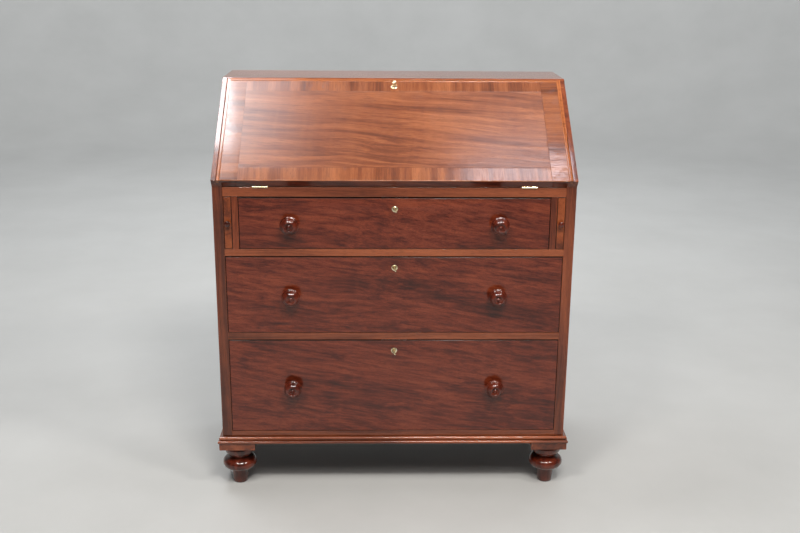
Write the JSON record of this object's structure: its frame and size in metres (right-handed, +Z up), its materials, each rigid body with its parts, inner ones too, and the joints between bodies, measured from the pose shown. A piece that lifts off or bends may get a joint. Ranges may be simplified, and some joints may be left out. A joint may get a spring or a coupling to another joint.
{
  "type": "secretary desk",
  "caption": "Slant-front secretary desk with long drawers under a hinged writing fall, pull-out fall supports and a fitting of pigeonholes inside.",
  "frame": {"origin": "middle of the underside of the desk's box, at floor level", "axes": "+X to the right of a person facing the desk, -Y towards that person, +Z up"},
  "size_m": [0.9452, 0.4934, 1.08],
  "materials": {
    "mahogany_show": "French polished, high gloss",
    "mahogany_drawer": "French polished, high gloss, figured",
    "mahogany_fall": "French polished, high gloss, crossbanded",
    "mahogany_lipping": "French polished, high gloss",
    "mahogany_turned": "French polished, high gloss, turned",
    "mahogany_inner": "waxed",
    "secondary_wood": "plain sawn, unfinished",
    "writing_skin": "waxed skiver",
    "brass_fitting": "polished, aged",
    "lock_iron": "dull"
  },
  "bodies": {
    "carcass": {"side_left": "mahogany_show", "side_right": "mahogany_show", "top_board": "mahogany_show", "strike_plate": "brass_fitting", "frieze_rail": "mahogany_show", "writing_bed": "mahogany_inner", "drawer_rails": "mahogany_show", "dustboards": "secondary_wood", "bottom_rail": "mahogany_show", "bottom_board": "secondary_wood", "loper_stiles": "mahogany_show", "loper_partitions": "secondary_wood", "back_boards": "secondary_wood", "base_mouldings": "mahogany_turned", "front_feet": "mahogany_turned", "rear_feet": "mahogany_turned", "foot_blocks": "mahogany_show", "hinge_plates_bed": "brass_fitting", "hinge_pins": "brass_fitting", "pigeonhole_shelves": "mahogany_inner", "pigeonhole_uprights": "mahogany_inner", "pigeonhole_valances": "mahogany_inner"},
    "fall": {"fall_panel": "mahogany_fall", "fall_lippings": "mahogany_lipping", "writing_leather": "writing_skin", "lock_fall": "lock_iron", "escutcheon_fall": "brass_fitting", "hinge_plates_fall": "brass_fitting"},
    "fall_bolt": {"bolt_fall": "brass_fitting"},
    "fall_key": {"key_fall": "brass_fitting"},
    "top_drawer": {"drawer_top_front": "mahogany_drawer", "drawer_top_box": "secondary_wood", "drawer_top_knobs": "mahogany_turned", "lock_top": "lock_iron", "escutcheon_top": "brass_fitting"},
    "top_drawer_bolt": {"bolt_top": "brass_fitting"},
    "top_drawer_key": {"key_top": "brass_fitting"},
    "middle_drawer": {"drawer_middle_front": "mahogany_drawer", "drawer_middle_box": "secondary_wood", "drawer_middle_knobs": "mahogany_turned", "lock_middle": "lock_iron", "escutcheon_middle": "brass_fitting"},
    "middle_drawer_bolt": {"bolt_middle": "brass_fitting"},
    "middle_drawer_key": {"key_middle": "brass_fitting"},
    "bottom_drawer": {"drawer_bottom_front": "mahogany_drawer", "drawer_bottom_box": "secondary_wood", "drawer_bottom_knobs": "mahogany_turned", "lock_bottom": "lock_iron", "escutcheon_bottom": "brass_fitting"},
    "bottom_drawer_bolt": {"bolt_bottom": "brass_fitting"},
    "bottom_drawer_key": {"key_bottom": "brass_fitting"},
    "left_loper": {"loper_left": "mahogany_lipping", "loper_knob_left": "mahogany_turned"},
    "left_inner_drawer": {"inner_drawer_left": "mahogany_inner"},
    "right_loper": {"loper_right": "mahogany_lipping", "loper_knob_right": "mahogany_turned"},
    "right_inner_drawer": {"inner_drawer_right": "mahogany_inner"}
  },
  "joints": [
    {"name": "fall_hinge", "type": "hinge", "parent": "carcass", "child": "fall", "pos_m": [0, -0.20825, 0.837], "axis": [1, 0, 0], "range_deg": [0, 141.5]},
    {"name": "fall_key_turn", "type": "hinge", "parent": "fall", "child": "fall_key", "pos_m": [0, 0.03163, 1.05975], "axis": [0, 0.6225, -0.7826], "range_deg": [-90, 0]},
    {"name": "fall_bolt_slide", "type": "slide", "parent": "fall", "child": "fall_bolt", "axis": [0, -0.7826, -0.6225], "range_m": [-0.008, 0]},
    {"name": "top_drawer_slide", "type": "slide", "parent": "carcass", "child": "top_drawer", "axis": [0, -1, 0], "range_m": [0, 0.28]},
    {"name": "top_drawer_key_turn", "type": "hinge", "parent": "top_drawer", "child": "top_drawer_key", "pos_m": [0, -0.20825, 0.7808], "axis": [0, 1, 0], "range_deg": [-90, 0]},
    {"name": "top_drawer_bolt_slide", "type": "slide", "parent": "top_drawer", "child": "top_drawer_bolt", "axis": [0, 0, -1], "range_m": [-0.008, 0]},
    {"name": "middle_drawer_slide", "type": "slide", "parent": "carcass", "child": "middle_drawer", "axis": [0, -1, 0], "range_m": [0, 0.28]},
    {"name": "middle_drawer_key_turn", "type": "hinge", "parent": "middle_drawer", "child": "middle_drawer_key", "pos_m": [0, -0.20825, 0.6257], "axis": [0, 1, 0], "range_deg": [-90, 0]},
    {"name": "middle_drawer_bolt_slide", "type": "slide", "parent": "middle_drawer", "child": "middle_drawer_bolt", "axis": [0, 0, -1], "range_m": [-0.008, 0]},
    {"name": "bottom_drawer_slide", "type": "slide", "parent": "carcass", "child": "bottom_drawer", "axis": [0, -1, 0], "range_m": [0, 0.28]},
    {"name": "bottom_drawer_key_turn", "type": "hinge", "parent": "bottom_drawer", "child": "bottom_drawer_key", "pos_m": [0, -0.20825, 0.3982], "axis": [0, 1, 0], "range_deg": [-90, 0]},
    {"name": "bottom_drawer_bolt_slide", "type": "slide", "parent": "bottom_drawer", "child": "bottom_drawer_bolt", "axis": [0, 0, -1], "range_m": [-0.008, 0]},
    {"name": "left_loper_slide", "type": "slide", "parent": "carcass", "child": "left_loper", "axis": [0, -1, 0], "range_m": [0, 0.29]},
    {"name": "left_inner_drawer_slide", "type": "slide", "parent": "carcass", "child": "left_inner_drawer", "axis": [0, -1, 0], "range_m": [0, 0.11]},
    {"name": "right_loper_slide", "type": "slide", "parent": "carcass", "child": "right_loper", "axis": [0, -1, 0], "range_m": [0, 0.29]},
    {"name": "right_inner_drawer_slide", "type": "slide", "parent": "carcass", "child": "right_inner_drawer", "axis": [0, -1, 0], "range_m": [0, 0.11]}
  ],
  "couplings": [
    {"joint": "fall_key_turn", "follows": "fall_bolt_slide", "rad_per_m": 196.35},
    {"joint": "top_drawer_key_turn", "follows": "top_drawer_bolt_slide", "rad_per_m": 196.35},
    {"joint": "middle_drawer_key_turn", "follows": "middle_drawer_bolt_slide", "rad_per_m": 196.35},
    {"joint": "bottom_drawer_key_turn", "follows": "bottom_drawer_bolt_slide", "rad_per_m": 196.35}
  ]
}
